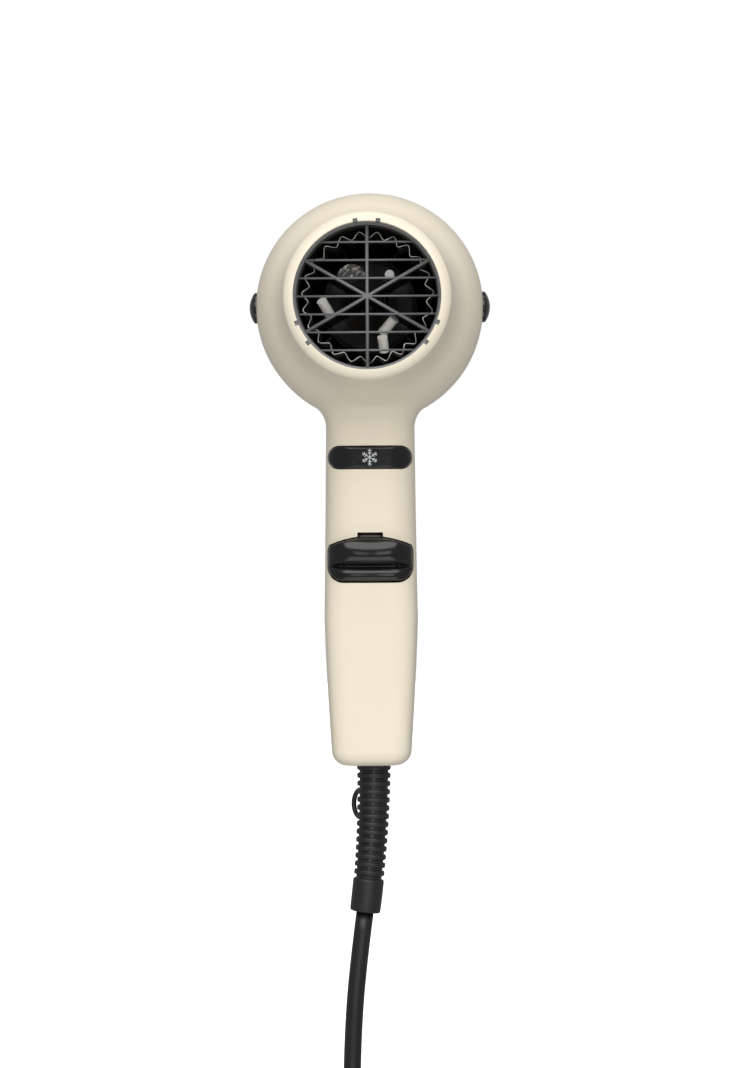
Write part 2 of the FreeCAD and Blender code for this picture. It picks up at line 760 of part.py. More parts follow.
def snowflake_form():
    # six arms with two pairs of side twigs each
    arms = []
    half = snow_line / 2
    for k in range(6):
        arm = [block(0, snow_r, -30, snow_floor_y, -half, half)]
        for along, reach in ((1.5, 0.9), (2.5, 0.9)):
            for side in (-1, 1):
                twig = block(0, reach, -30, snow_floor_y, -half, half).rotated(V(0, 0, 0), V(0, 1, 0), -55 * side)
                arm.append(twig.translated(V(along, 0, 0)))
        arms.append(fused(arm).rotated(V(0, 0, 0), V(0, 1, 0), 60 * k + 30))
    return fused(arms).translated(V(0, 0, cool_z))


def snowflake_inlay():
    return snowflake_form().common(handle_upper(-cool_proud, crease_z))


def cool_plunger():
    return rod_y(1.2, cool_back_y, -5.5, 0, cool_z)


def cool_switch():
    body = block(-10, 10, -7, 3, cool_z - 3.2, cool_z + 3.2)
    body = body.cut(rod_y(1.2 + running, -8, -3, 0, cool_z))
    pieces = [body]
    for x in (-5.5, 0, 5.5):
        pieces.append(block(x - 1.2, x + 1.2, 3, 7, cool_z - 0.3, cool_z + 0.3))
    return fused(pieces)


def rocker_profile():
    # side view about the pivot: a swelling thumb pad above, a crease and a narrow lip below
    reach = rocker_h / 2
    py = rocker_pivot_y
    pz = rocker_z
    front = rocker_front_y - py

    def at(dy, dz):
        return V(-30, py + dy, pz + dz)

    rear = 3.0
    side = math.sqrt(reach ** 2 - rear ** 2)
    top = 0.93 * reach
    top_y = -math.sqrt(reach ** 2 - top ** 2)
    low_y = -0.42 * reach
    low = -math.sqrt(reach ** 2 - low_y ** 2)
    crease = at(0.62 * front, -0.42 * reach)
    lines = [
        Part.Arc(at(rear, side), at(0, reach), at(top_y, top)),
        Part.Arc(at(top_y, top), at(front, 0.3 * reach), crease),
        Part.Arc(crease, at(0.74 * front, -0.62 * reach), at(low_y, low)),
        Part.Arc(at(low_y, low), at(0, -reach), at(rear, -side)),
        Part.LineSegment(at(rear, -side), at(rear, side)),
    ]
    return Part.Face(Part.Wire([line.toShape() for line in lines])).extrude(V(60, 0, 0))


def rocker_button():
    outline = rocker_outline(0, 0, 0)
    plan = section(0, rocker_w / 2 + 0.1, rocker_front_y - 0.3, -9.0 + (-9.0 - rocker_front_y + 0.3), 2.5)
    plan = Part.Face(plan).extrude(V(0, 0, 60))
    body = rocker_profile().common(outline).common(plan)
    top = rocker_z + rocker_h / 2
    half = tab_w / 2
    body = body.fuse(block(-half, half, rocker_pivot_y - 5.6, rocker_pivot_y - 2.2, top - 2.5, top + tab_h))
    body = body.cut(rod_x(pivot_pin_r + running, -20, 20, rocker_pivot_y, rocker_z))
    for side in (-1, 1):
        near = side * 10.0
        body = body.cut(block(near - 1.5, near + 1.5, rocker_pivot_y - 3.4, 0, rocker_z - 20, rocker_z + 20))
    return body


def rocker_pin():
    return rod_x(pivot_pin_r, -13.0, 13.0, rocker_pivot_y, rocker_z)


def rocker_switch_body():
    front = -11.0
    pieces = [block(-14, 14, front, 7, rocker_z - 8.4, rocker_z + 8.4)]
    for side in (-1, 1):
        near = side * 10.0
        pieces.append(block(near - 1.0, near + 1.0, rocker_pivot_y, front, rocker_z - 2.4, rocker_z + 2.4))
        pieces.append(rod_x(2.4, near - 1.0, near + 1.0, rocker_pivot_y, rocker_z))
    for x in (-8.5, 0, 8.5):
        pieces.append(block(x - 1.6, x + 1.6, 7, 10.0, rocker_z - 0.4, rocker_z + 0.4))
    body = fused(pieces)
    return body.cut(rod_x(pivot_pin_r + 0.01, -20, 20, rocker_pivot_y, rocker_z))


# ---- wires, clamp and relief --------------------------------------------------------------------
def mains_leads():
    leads = []
    for side in (-1, 1):
        start = side * 1.9 + relief_x
        low = inner_cord_top_z
        route = [(start, relief_y, low), (start, relief_y, low + 2), (side * 6.0, relief_y + 0.6, low + 9),
                 (side * 7.0, -3.0, low + 26), (side * 7.6, 6.0, low + 39), (side * 8.5, 9.2, low + 52),
                 (side * 8.5, 9.6, rocker_z - 0.5)]
        leads.append(bent_tube(route, 1.0, "mains lead"))
    return group(leads)


def heater_leads():
    leads = []
    for x in (-8.5, 8.5):
        top = handle_top_z
        route = [(x, 9.6, rocker_z + 0.5), (x, 9.2, 48), (x, 8.6, 64), (x, 6.8, top - 31), (x, 1.0, top - 18),
                 (x, -8.6, top - 8), (x, -11.4, top + 5)]
        leads.append(bent_tube(route, 1.0, "heater lead"))
    return group(leads)


def cord_clamp():
    front = relief_y - cord_r - 2.6
    bar = block(-clamp_x - 3.2, clamp_x + 3.2, front, front + 2.5, clamp_z - 3, clamp_z + 3)
    for x in (-clamp_x, clamp_x):
        bar = bar.cut(rod_y(1.2, front - 2, front + 5, x, clamp_z))
    return bar


def along_relief(distance):
    # point and direction on the relief's curved middle line
    relief_bend_r = relief_len / math.radians(relief_lean)
    turn = distance / relief_bend_r
    x = relief_x - relief_bend_r * (1 - math.cos(turn))
    z = handle_bottom_z - relief_bend_r * math.sin(turn)
    return V(x, relief_y, z), V(-math.sin(turn), 0, -math.cos(turn))


def bent_on_relief(face, length):
    # a face that stands across the relief's middle line, carried along it
    centre = V(relief_x - relief_len / math.radians(relief_lean), relief_y, handle_bottom_z)
    return face.revolve(centre, V(0, 1, 0), relief_lean * length / relief_len)


def relief_core(radius, start, end):
    begin, way = along_relief(start)
    face = Part.Face(Part.Wire([Part.Circle(begin, way, radius).toShape()]))
    return bent_on_relief(face, end - start)


def hang_loop():
    # a flat eye that stands out of the relief, turned towards its rear left
    middle, way = along_relief(17.0)
    outer = 7.2
    strand = 2.1
    arm = relief_r + 7.0
    plate = block(0, arm, -1.1, 1.1, -outer, outer).fuse(rod_y(outer, -1.1, 1.1, arm))
    eye_r = outer - strand
    eye = block(relief_r - 0.6, arm, -3, 3, -eye_r, eye_r)
    eye = eye.fuse(rod_y(eye_r, -3, 3, arm))
    loop = plate.cut(eye)
    loop = loop.cut(rod_z(relief_r - 2.4, -20, 20))
    loop = loop.rotated(V(0, 0, 0), V(0, 0, 1), 180 - 60)
    return loop.rotated(V(0, 0, 0), V(0, 1, 0), relief_lean * 17.0 / relief_len).translated(middle)


def strain_relief():
    ribs_end = rib_count * rib_pitch
    pieces = [relief_core(relief_r - 1.3, 0.0, ribs_end + 1), relief_core(sleeve_r, ribs_end + 0.2, relief_len)]
    for k in range(rib_count):
        radius = relief_r - relief_narrowing * k / (rib_count - 1)
        start = k * rib_pitch
        pieces.append(relief_core(radius, start, start + rib_pitch * 0.66))
    half_w = relief_spine_w / 2
    half_d = relief_r - relief_narrowing - 0.35
    corners = [(-half_w, -half_d), (half_w, -half_d), (half_w, half_d), (-half_w, half_d), (-half_w, -half_d)]
    outline = Part.makePolygon([V(relief_x + x, relief_y + y, handle_bottom_z) for x, y in corners])
    pieces.append(bent_on_relief(Part.Face(outline), ribs_end))
    pieces.append(rod_z(relief_neck_r, handle_bottom_z - 0.5, handle_bottom_z + 3.2, relief_x, relief_y))
    flange_r = relief_neck_r + 2.6
    pieces.append(rod_z(flange_r, handle_bottom_z + wall + gap, handle_bottom_z + 6.0, relief_x, relief_y))
    pieces.append(hang_loop())
    return fused(pieces)


def cord_inner_end():
    return rod_z(cord_r, handle_bottom_z + 6.0, inner_cord_top_z, relief_x, relief_y)


# ---- free cord ----------------------------------------------------------------------------------
def cord_coil():
    half_band = coil_tracks * cord_r
    height = coil_layers * 2 * cord_r
    ring = rod_z(coil_mid_r + half_band, floor_z, floor_z + height, coil_x, coil_y)
    return ring.cut(rod_z(coil_mid_r - half_band, floor_z - 1, floor_z + height + 1, coil_x, coil_y))


def plug_body():
    # a flat two-pin plug: a tapered neck behind, a waisted body, a square front face
    z = floor_z + plug_t / 2
    neck = Part.makeCone(plug_t / 2 - 0.2, cord_r + 0.8, 16, V(plug_x, plug_end_y - 16, z), V(0, 1, 0))
    y0 = plug_end_y - 14 - plug_len
    y1 = plug_end_y - 14
    half = plug_w / 2
    points = [(half, y0), (half, y0 + 12), (half - 3.5, y0 + 24), (half - 4.5, y1), (4.5 - half, y1),
              (3.5 - half, y0 + 24), (-half, y0 + 12), (-half, y0)]
    outline = Part.makePolygon([V(plug_x + x, y, floor_z) for x, y in points + points[:1]])
    body = Part.Face(outline).extrude(V(0, 0, plug_t))
    body = body.makeFillet(2.4, [e for e in body.Edges if e.BoundBox.YMax > y0 + 0.5])
    return body.fuse(neck)


def plug_pins():
    z = floor_z + plug_t / 2
    y0 = plug_end_y - 14 - plug_len
    pins = []
    for side in (-1, 1):
        x = plug_x + side * pin_spacing / 2
        pin = rod_y(pin_r, y0 - pin_len, y0, x, z)
        tip = [e for e in pin.Edges if abs(e.BoundBox.YMax - (y0 - pin_len)) < 0.01]
        pins.append(pin.makeFillet(1.6, tip))
    return group(pins)


# ---- build --------------------------------------------------------------------------------------
front, rear = shells()
save("front_shell", front)
save("rear_shell", rear)
save("front_grille", front_grille())
save("side_cap_left", side_cap(-1))
save("side_cap_right", side_cap(1))
save("side_screws", side_screws())
save("handle_screws", handle_screws())
save("fan_duct", fan_duct())
save("motor_can", motor_can())
save("motor_end_cap", motor_end_cap())
save("motor_bushes", motor_bushes())
save("motor_magnets", motor_magnets())
save("motor_brushes", motor_brushes())
save("rotor_shaft", rotor_shaft())
save("armature", armature())
save("armature_windings", armature_windings())
save("commutator", commutator())
save("fan", fan())
save("rectifier_board", rectifier_board())
save("diodes", diodes())
save("heater_boards", heater_boards())
save("heater_wires", heater_wires())
save("heater_sleeve", heater_sleeve())
save("mica_bracket", mica_bracket())
save("thermostat", thermostat())
save("thermal_fuse", thermal_fuse())
save("lead_sleeves", lead_sleeves())
save("rear_cap", rear_cap())
save("filter_mesh", filter_mesh())
save("cool_button", cool_button())
save("snowflake_inlay", snowflake_inlay())
save("cool_plunger", cool_plunger())
save("cool_switch", cool_switch())
save("rocker_button", rocker_button())
save("rocker_pin", rocker_pin())
save("rocker_switch_body", rocker_switch_body())
save("mains_leads", mains_leads())
save("heater_leads", heater_leads())
save("cord_clamp", cord_clamp())
save("clamp_screws", clamp_screws())
save("strain_relief", strain_relief())
save("cord_inner_end", cord_inner_end())
relief_end, relief_way = along_relief(relief_len)
first_run = [tuple(relief_end), tuple(relief_end + relief_way * straight_run)]
save("mains_cord", bent_tube(first_run + cord_route, cord_r, "mains cord"))
save("cord_coil", cord_coil())
save("cord_tail", bent_tube(tail_route, cord_r, "cord tail"))
save("plug_body", plug_body())
save("plug_pins", plug_pins())
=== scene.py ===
import math
import bmesh
import bpy
import numpy as np
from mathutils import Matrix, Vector


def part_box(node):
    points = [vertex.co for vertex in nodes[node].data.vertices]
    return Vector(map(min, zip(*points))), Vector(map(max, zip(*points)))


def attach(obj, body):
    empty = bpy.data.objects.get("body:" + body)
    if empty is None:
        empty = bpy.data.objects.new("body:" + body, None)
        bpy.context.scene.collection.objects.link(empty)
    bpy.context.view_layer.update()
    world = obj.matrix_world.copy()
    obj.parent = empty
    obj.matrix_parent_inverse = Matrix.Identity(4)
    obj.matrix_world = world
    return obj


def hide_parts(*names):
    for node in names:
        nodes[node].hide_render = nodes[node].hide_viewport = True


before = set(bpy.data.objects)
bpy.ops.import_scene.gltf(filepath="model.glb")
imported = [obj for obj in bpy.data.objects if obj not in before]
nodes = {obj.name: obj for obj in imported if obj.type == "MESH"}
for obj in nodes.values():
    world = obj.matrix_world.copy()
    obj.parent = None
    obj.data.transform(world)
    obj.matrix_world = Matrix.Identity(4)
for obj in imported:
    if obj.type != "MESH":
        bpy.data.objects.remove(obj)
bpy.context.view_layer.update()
mm = 0.001
barrelZ = 141.0 * mm  # height of the barrel's axis over the grip


# camera and studio

view = dict(
    distance=1.5,  # metres from the lens to the handle
    aim=(-0.0010, 0.0, 0.0451),
    azimuth=0.9,
    elevation=-0.3,
    roll=-0.3,
    seenHeight=0.4517,  # height of the picture at the aim point
)

studio = dict(
    backdrop=(1.0, 1.0, 1.0),
    floorHalf=6.0,
    worldGrey=0.35,
    # name: position, size, watts, aim point
    lights={
        "frontBox": ((0.0, -1.44, 0.96), (2.0, 1.3), 22.5, (0, 0, 0.06)),
        "leftStrip": ((-0.27, -1.58, -0.21), (0.42, 0.50), 0.8, (0, 0, -0.2)),
        "rightStrip": ((0.37, -1.56, -0.21), (0.58, 0.50), 1.6, (0, 0, -0.2)),
        "topBox": ((0.0, -0.30, 1.30), (0.9, 0.7), 4.0, (0, 0, 0.10)),
        "lowBox": ((0.0, -0.75, -1.10), (1.2, 0.9), 4.0, (0, 0, 0.10)),
    },
)


def makeCamera():
    data = bpy.data.cameras.new("camera")
    data.sensor_fit = "VERTICAL"
    data.sensor_height = 36.0
    data.lens = data.sensor_height * view["distance"] / view["seenHeight"]
    data.clip_start = 0.05
    camera = bpy.data.objects.new("camera", data)
    bpy.context.scene.collection.objects.link(camera)
    azimuth = math.radians(view["azimuth"])
    elevation = math.radians(view["elevation"])
    away = Vector((math.sin(azimuth) * math.cos(elevation),
                   -math.cos(azimuth) * math.cos(elevation),
                   math.sin(elevation)))
    camera.location = Vector(view["aim"]) + away * view["distance"]
    camera.rotation_euler = away.to_track_quat("Z", "Y").to_euler()
    camera.rotation_euler.rotate_axis("Z", math.radians(view["roll"]))
    bpy.context.scene.camera = camera


makeCamera()
print("camera ready")


# mesh helpers

def closeMesh(mesh):
    # merges coinciding points at seams and poles and turns the faces outwards
    clean = bmesh.new()
    clean.from_mesh(mesh)
    bmesh.ops.remove_doubles(clean, verts=clean.verts, dist=1e-6)
    bmesh.ops.dissolve_degenerate(clean, edges=clean.edges, dist=1e-7)
    bmesh.ops.recalc_face_normals(clean, faces=clean.faces)
    clean.to_mesh(mesh)
    clean.free()


def gridMesh(name, points, closedU=True, closedV=False, capEnds=False, smooth=True):
    # points has shape (rows, columns, 3): neighbours make quads, and capEnds fills the open ends
    rows, columns = points.shape[:2]
    index = np.arange(rows * columns).reshape(rows, columns)
    a = index if closedV else index[:-1]
    b = np.roll(index, -1, 0) if closedV else index[1:]
    if closedU:
        quads = np.stack([a, np.roll(a, -1, 1), np.roll(b, -1, 1), b], -1)
    else:
        quads = np.stack([a[:, :-1], a[:, 1:], b[:, 1:], b[:, :-1]], -1)
    faces = quads.reshape(-1, 4).tolist()
    if capEnds and closedU:
        faces += [index[0, ::-1].tolist(), index[-1].tolist()]
    elif capEnds:
        faces += [index[:, 0].tolist(), index[::-1, -1].tolist()]
    mesh = bpy.data.meshes.new(name)
    mesh.from_pydata(points.reshape(-1, 3).tolist(), [], faces)
    closeMesh(mesh)
    mesh.polygons.foreach_set("use_smooth", np.full(len(mesh.polygons), smooth))
    mesh.update()
    piece = bpy.data.objects.new(name, mesh)
    bpy.context.scene.collection.objects.link(piece)
    return piece


def splineSamples(curve):
    # points along a curve object's own line, in metres
    bare = curve.data.copy()
    bare.bevel_depth = 0.0
    holder = bpy.data.objects.new("holder", bare)
    mesh = bpy.data.meshes.new_from_object(holder)
    line = np.array([v.co[:] for v in mesh.vertices])
    bpy.data.objects.remove(holder)
    return line


# mains cord

cordSet = dict(
    radius=3.75 * mm,
    floor=-236.0 * mm,
    coilCentre=(41.6 * mm, 79.0 * mm),
    coilInner=35.6 * mm,   # line of the innermost turn
    turnsPerLayer=2,
    layers=4,
    turns=7.5,
    pointsPerTurn=16,
    riseShare=0.16,        # share of a turn in which the cord climbs to the next layer
)

# the cord's route, chosen point by point, in metres
cordRoute = [
    (-0.00316, -0.0086, -0.11382),
    (-0.00648, -0.0086, -0.1390),
    (-0.0084, -0.0080, -0.1645),
    (-0.0092, -0.0036, -0.1900),
    (-0.0094, 0.0086, -0.2120),
    (-0.0093, 0.0295, -0.2270),
    (-0.0091, 0.0540, -0.23225),
    (-0.0090, 0.0790, -0.23225),
]
tailRoute = [
    (0.0885, 0.0560, -0.2115),
    (0.0882, 0.0340, -0.2195),
    (0.0874, 0.0140, -0.2276),
    (0.0870, 0.0020, -0.2290),
    (0.0870, -0.0140, -0.2290),
]


def coilPoints():
    # a spiral in, then out, layer on layer: the radius drifts by one cord per turn,
    # and the height rises by one cord at each layer's end
    step = 2 * cordSet["radius"]
    count = cordSet["pointsPerTurn"]
    t = np.arange(1, int(cordSet["turns"] * count) + 1) / count
    layer = np.minimum(np.floor((t - 1e-9) / cordSet["turnsPerLayer"]), cordSet["layers"] - 1)
    inLayer = t - layer * cordSet["turnsPerLayer"]
    inward = layer % 2 == 0
    drift = np.where(inward, cordSet["turnsPerLayer"] - inLayer, inLayer)
    radius = cordSet["coilInner"] + step * drift
    rise = cordSet["riseShare"]
    into = np.clip((inLayer - cordSet["turnsPerLayer"] + rise) / rise, 0, 1)
    height = layer + into * into * (3 - 2 * into)
    angle = math.pi - 2 * math.pi * t
    # a quadratic spline runs inside its points, so they stand a little further out
    spread = radius / (0.75 + 0.25 * math.cos(2 * math.pi / count))
    x = cordSet["coilCentre"][0] + spread * np.cos(angle)
    y = cordSet["coilCentre"][1] + spread * np.sin(angle)
    z = cordSet["floor"] + cordSet["radius"] + step * height
    return np.stack([x, y, z], 1)


def makeCord():
    # a round tube along one NURBS line: the hanging run, the coil, then the tail to the plug
    points = [Vector(p) for p in cordRoute + list(coilPoints()) + tailRoute]
    data = bpy.data.curves.new("mainsCord", "CURVE")
    data.dimensions = "3D"
    spline = data.splines.new("NURBS")
    spline.points.add(len(points) - 1)
    for target, point in zip(spline.points, points):
        target.co = (*point, 1.0)
    spline.order_u = 3
    spline.use_endpoint_u = True
    spline.resolution_u = 6
    data.bevel_depth = cordSet["radius"]
    data.bevel_resolution = 5
    data.use_fill_caps = True
    curve = bpy.data.objects.new("cordLine", data)
    line = splineSamples(curve)
    length = float(np.linalg.norm(np.diff(line, axis=0), axis=1).sum())
    print("cord length", round(length, 3))
    tube = bpy.data.meshes.new_from_object(curve)
    bpy.data.objects.remove(curve)
    closeMesh(tube)
    tube.polygons.foreach_set("use_smooth", np.full(len(tube.polygons), True))
    piece = bpy.data.objects.new("mainsCordPiece", tube)
    bpy.context.scene.collection.objects.link(piece)
    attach(piece, "housing")
    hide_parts("mains_cord", "cord_coil", "cord_tail")
    return piece


cordPiece = makeCord()
print("cord ready")


# materials

def colour(hexText):
    # sRGB hex to linear RGBA
    parts = [int(hexText[i:i + 2], 16) / 255 for i in (0, 2, 4)]
    return tuple(c / 12.92 if c <= 0.04045 else ((c + 0.055) / 1.055) ** 2.4 for c in parts) + (1.0,)


def addNode(material, kind, settings=None, **links):
    # a node with its settings and links; a link is socketName=(node, output) with _ for a space
    node = material.node_tree.nodes.new(kind)
    for key, value in (settings or {}).items():
        if key in node.inputs:
            node.inputs[key].default_value = value
        else:
            setattr(node, key, value)
    for socket, (source, output) in links.items():
        material.node_tree.links.new(source.outputs[output], node.inputs[socket.replace("_", " ")])
    return node


def newMaterial(name, **values):
    # a Principled material with values set on its own sockets
    material = bpy.data.materials.new(name)
    material.use_nodes = True
    shader = material.node_tree.nodes["Principled BSDF"]
    for key, value in values.items():
        shader.inputs[key.replace("_", " ")].default_value = value
    return material, shader


def join(material, source, output, target, socket):
    material.node_tree.links.new(source.outputs[output], target.inputs[socket])


driftLength = 45 * mm  # over which a moulding's colour changes


def speckled(name, base, second, grainMm, roughness, roughSpread, bumpMm, **values):
    # a moulded, drawn or coated surface: its colour drifts slowly over a few centimetres,
    # its gloss follows a fine grain, and the grain stands out a little
    material, shader = newMaterial(name, Roughness=roughness, **values)
    place = addNode(material, "ShaderNodeTexCoord")
    grain = addNode(material, "ShaderNodeTexNoise",
                    {"Scale": 1 / (grainMm * mm), "Detail": 3.0, "Roughness": 0.6}, Vector=(place, "Object"))
    cloud = addNode(material, "ShaderNodeTexNoise",
                    {"Scale": 1 / driftLength, "Detail": 2.0}, Vector=(place, "Object"))
    mix = addNode(material, "ShaderNodeMix", {"data_type": "RGBA"}, Factor=(cloud, "Fac"))
    mix.inputs["A"].default_value = colour(base)
    mix.inputs["B"].default_value = colour(second)
    join(material, mix, "Result", shader, "Base Color")
    rough = addNode(material, "ShaderNodeMapRange",
                    {"To Min": roughness - roughSpread, "To Max": roughness + roughSpread},
                    Value=(grain, "Fac"))
    join(material, rough, "Result", shader, "Roughness")
    relief = addNode(material, "ShaderNodeBump", {"Distance": bumpMm * mm, "Strength": 0.6},
                     Height=(grain, "Fac"))
    join(material, relief, "Normal", shader, "Normal")
    return material


def makeFleckedMica():
    # raw phlogopite: dark sheet with bright flakes lying in it
    material, shader = newMaterial("fleckedMica", Roughness=0.4)
    place = addNode(material, "ShaderNodeTexCoord")
    flakes = addNode(material, "ShaderNodeTexVoronoi", {"Scale": 1 / (1.1 * mm), "Randomness": 1.0},
                     Vector=(place, "Object"))
    split = addNode(material, "ShaderNodeSeparateColor", None, Color=(flakes, "Color"))
    lit = addNode(material, "ShaderNodeMapRange", {"From Min": 0.62, "From Max": 0.95}, Value=(split, "Red"))
    mix = addNode(material, "ShaderNodeMix", {"data_type": "RGBA"}, Factor=(lit, "Result"))
    mix.inputs["A"].default_value = colour("2A2825")
    mix.inputs["B"].default_value = colour("B9B4AA")
    join(material, mix, "Result", shader, "Base Color")
    relief = addNode(material, "ShaderNodeBump", {"Distance": 0.1 * mm, "Strength": 0.8},
                     Height=(split, "Green"))
    join(material, relief, "Normal", shader, "Normal")
    return material


def assign(material, *names):
    for name in names:
        piece = nodes[name]
        piece.data.materials.clear()
        piece.data.materials.append(material)


# name, two colours, grain in mm, roughness and its spread, height of the grain in mm

# ABS, injection moulded: an even cream satin with the faint waviness of a moulded skin
creamAbs = speckled("creamSatinAbs", "EDE3CF", "E9DFC9", 1.6, 0.30, 0.03, 0.003, IOR=1.46)
# ABS, moulded and polished black: deep and mirror-like, with light wear in its gloss
blackAbs = speckled("blackGlossAbs", "0C0C0D", "111113", 2.2, 0.16, 0.04, 0.003, IOR=1.5)
# glass-filled polyamide, moulded: mid grey, half dull, with a fine fibre grain
grillePolyamide = speckled("grillePolyamide", "747476", "646466", 0.35, 0.28, 0.10, 0.02, IOR=1.5)
# PVC, overmoulded: soft satin black
reliefPvc = speckled("reliefPvc", "1A1A1C", "141416", 0.5, 0.44, 0.07, 0.012, IOR=1.5)
# PVC, extruded over the cores: black, slightly oily sheen
cordPvc = speckled("cordPvc", "151517", "101012", 0.8, 0.40, 0.06, 0.008, IOR=1.5)
# polycarbonate, moulded: black with a fine spark-eroded texture
capPolycarbonate = speckled("capPolycarbonate", "161617", "101011", 0.25, 0.42, 0.08, 0.02, IOR=1.55)
# polyamide, moulded: charcoal, dull
ductPolyamide = speckled("ductPolyamide", "101011", "161617", 0.6, 0.5, 0.08, 0.015, IOR=1.5)
# steel, zinc plated and passivated: pale, softly mirroring
zincSteel = speckled("zincSteel", "B8BBC0", "A9A9A4", 0.15, 0.30, 0.08, 0.004, Metallic=1.0)
# steel, deep drawn: painted dark as painted shade inside the barrel, with a dull mirror
shadeDarkenedSteel = speckled("shadeDarkenedSteel", "2B2C2E", "353638", 0.3, 0.34, 0.10, 0.004, Metallic=1.0)
# the motor's inside: porous bronze, ground ferrite, pressed carbon, stamped sheet, enamelled wire
bronze = speckled("sinteredBronze", "9A7748", "7E6038", 0.12, 0.48, 0.08, 0.01, Metallic=1.0)
ferrite = speckled("groundFerrite", "2E2E30", "3A3A3D", 0.2, 0.6, 0.1, 0.01)
carbon = speckled("brushCarbon", "19191A", "252526", 0.15, 0.55, 0.1, 0.01)
lamination = speckled("stampedLamination", "6F7173", "55575A", 0.2, 0.4, 0.1, 0.01, Metallic=1.0)
copper = speckled("enamelledCopper", "B4622E", "8E441D", 0.3, 0.25, 0.06, 0.02, Metallic=1.0)
# the heater's and the rectifier's parts: pressed paper, epoxy, mica, fired steatite, glass braid
# pressed paper's brown darkened almost to black: painted shade in the barrel's middle
boardPaper = speckled("shadeDarkenedPaperBoard", "33241A", "291D15", 0.4, 0.55, 0.1, 0.01)
diodeEpoxy = speckled("diodeEpoxy", "131314", "1A1A1B", 0.3, 0.4, 0.08, 0.006)
# mica darkened almost to black: painted shade for the shadow around the heating wire
mica = speckled("shadeDarkenedMica", "2A2722", "3A352B", 0.9, 0.38, 0.15, 0.03)
fleckedMica = makeFleckedMica()
steatite = speckled("steatite", "3A3733", "2C2A27", 0.4, 0.6, 0.1, 0.01)
fuseCan = speckled("fuseAluminium", "B9BBBD", "9C9EA0", 0.2, 0.35, 0.08, 0.004, Metallic=1.0)
glassSleeve = speckled("glassFibreSleeve", "F6F4EE", "E4E1D8", 0.5, 0.8, 0.1, 0.08)
# woven stainless wire, pad printing, switch mouldings, silicone leads, plated brass
meshSteel = speckled("meshSteel", "9EA0A2", "7D7F81", 0.2, 0.4, 0.1, 0.004, Metallic=1.0)
printWhite = speckled("printedWhite", "CDD0D4", "C2C5C9", 0.3, 0.45, 0.06, 0.003)
switchPolyamide = speckled("switchPolyamide", "202022", "29292B", 0.4, 0.5, 0.08, 0.01)
siliconeLead = speckled("siliconeLead", "B9B2A4", "A79F90", 0.5, 0.5, 0.08, 0.01)
nickelBrass = speckled("nickelBrass", "C9C7BF", "B5B2A8", 0.2, 0.24, 0.06, 0.003, Metallic=1.0)
# nichrome wire: the front row in the wire's own bright colour; the rows behind are painted dark, painted
# shade standing for the shadow deep in the barrel
nichrome = speckled("annealedNichrome", "D2D0CC", "B3AFA8", 0.4, 0.34, 0.10, 0.006, Metallic=1.0)
shadowedNichrome = speckled("shadowedNichrome", "4A4642", "36322F", 0.4, 0.5, 0.12, 0.01, Metallic=1.0)

assign(creamAbs, "front_shell", "rear_shell")
assign(grillePolyamide, "front_grille")
assign(blackAbs, "side_cap_left", "side_cap_right", "cool_button", "rocker_button")
assign(zincSteel, "side_screws", "handle_screws", "clamp_screws", "rocker_pin")
assign(ductPolyamide, "fan_duct", "motor_end_cap", "fan", "cord_clamp")
# the motor can's dark colour is painted shade
assign(shadeDarkenedSteel, "motor_can", "rotor_shaft")
assign(bronze, "motor_bushes")
assign(ferrite, "motor_magnets")
assign(carbon, "motor_brushes")
assign(lamination, "armature")
assign(copper, "armature_windings", "commutator")
assign(boardPaper, "rectifier_board")
assign(diodeEpoxy, "diodes")
# heater boards and sleeve in the darkened mica: painted shade
assign(mica, "heater_boards", "heater_sleeve")
assign(fleckedMica, "mica_bracket")
assign(steatite, "thermostat")
assign(fuseCan, "thermal_fuse")
assign(glassSleeve, "lead_sleeves")
assign(capPolycarbonate, "rear_cap")
assign(meshSteel, "filter_mesh")
assign(printWhite, "snowflake_inlay")
assign(switchPolyamide, "cool_plunger", "cool_switch", "rocker_switch_body")
assign(siliconeLead, "mains_leads", "heater_leads")
assign(reliefPvc, "strain_relief", "plug_body")
assign(cordPvc, "cord_inner_end")
assign(nickelBrass, "plug_pins")
assign(nichrome, "heater_wires")
cordPiece.data.materials.append(cordPvc)
print("materials ready")


# rocker

rockerSet = dict(
    pivotY=-16.5 * mm,
    middleZ=34.4 * mm,
    halfWidth=17.65 * mm,
    halfHeight=9.2 * mm,
    archRadius=42.0 * mm,   # upper edge
    cornerRadius=6.5 * mm,
    padStand=8.9 * mm,      # how far the thumb pad stands before the pivot
    padMiddle=2.9 * mm,     # its summit over the pivot, and its reach below and above
    padBelow=6.3 * mm,
    padAbove=8.4 * mm,
    padPower=2.2,
    creaseLift=0.7,         # how far the crease follows the arch
    lipStand=6.7 * mm,
    lipMiddle=-6.1 * mm,
    lipBelow=4.3 * mm,
    lipAbove=3.7 * mm,
    lipPower=2.3,
    baseStand=3.2 * mm,     # the lowest the face gets between pad and lip
    blend=12,               # higher means a sharper crease
    planHalf=17.95 * mm,
    planPower=2.5,
    planBack=1.2 * mm,      # how far behind the pivot the ends run out
    edgeRound=1.1 * mm,
    rearY=-15.2 * mm,
    play=0.1 * mm,          # how much smaller than its opening's drawing
    armX=10.0 * mm,         # the switch's two arms, which hold the pin
    pinRoom=(14.0 * mm, 3.0 * mm, 1.9 * mm),
    pinRoomBehind=1.1 * mm,
    armRoom=(1.5 * mm, 4.4 * mm, 3.2 * mm),
    armRoomBehind=1.0 * mm,
    tabMiddle=(0, -20.4 * mm, 43.2 * mm),
    tabHalf=(4.95 * mm, 1.7 * mm, 1.45 * mm),
    columns=161,
    rows=121,
)


def bump(x, middle, below, above, power):
    # a rounded hump of height 1: (1 - |d|^p)^(1/p), with its own reach on each side
    d = np.where(x < middle, (x - middle) / below, (x - middle) / above)
    return np.clip(1 - np.abs(d) ** power, 0, 1) ** (1 / power)


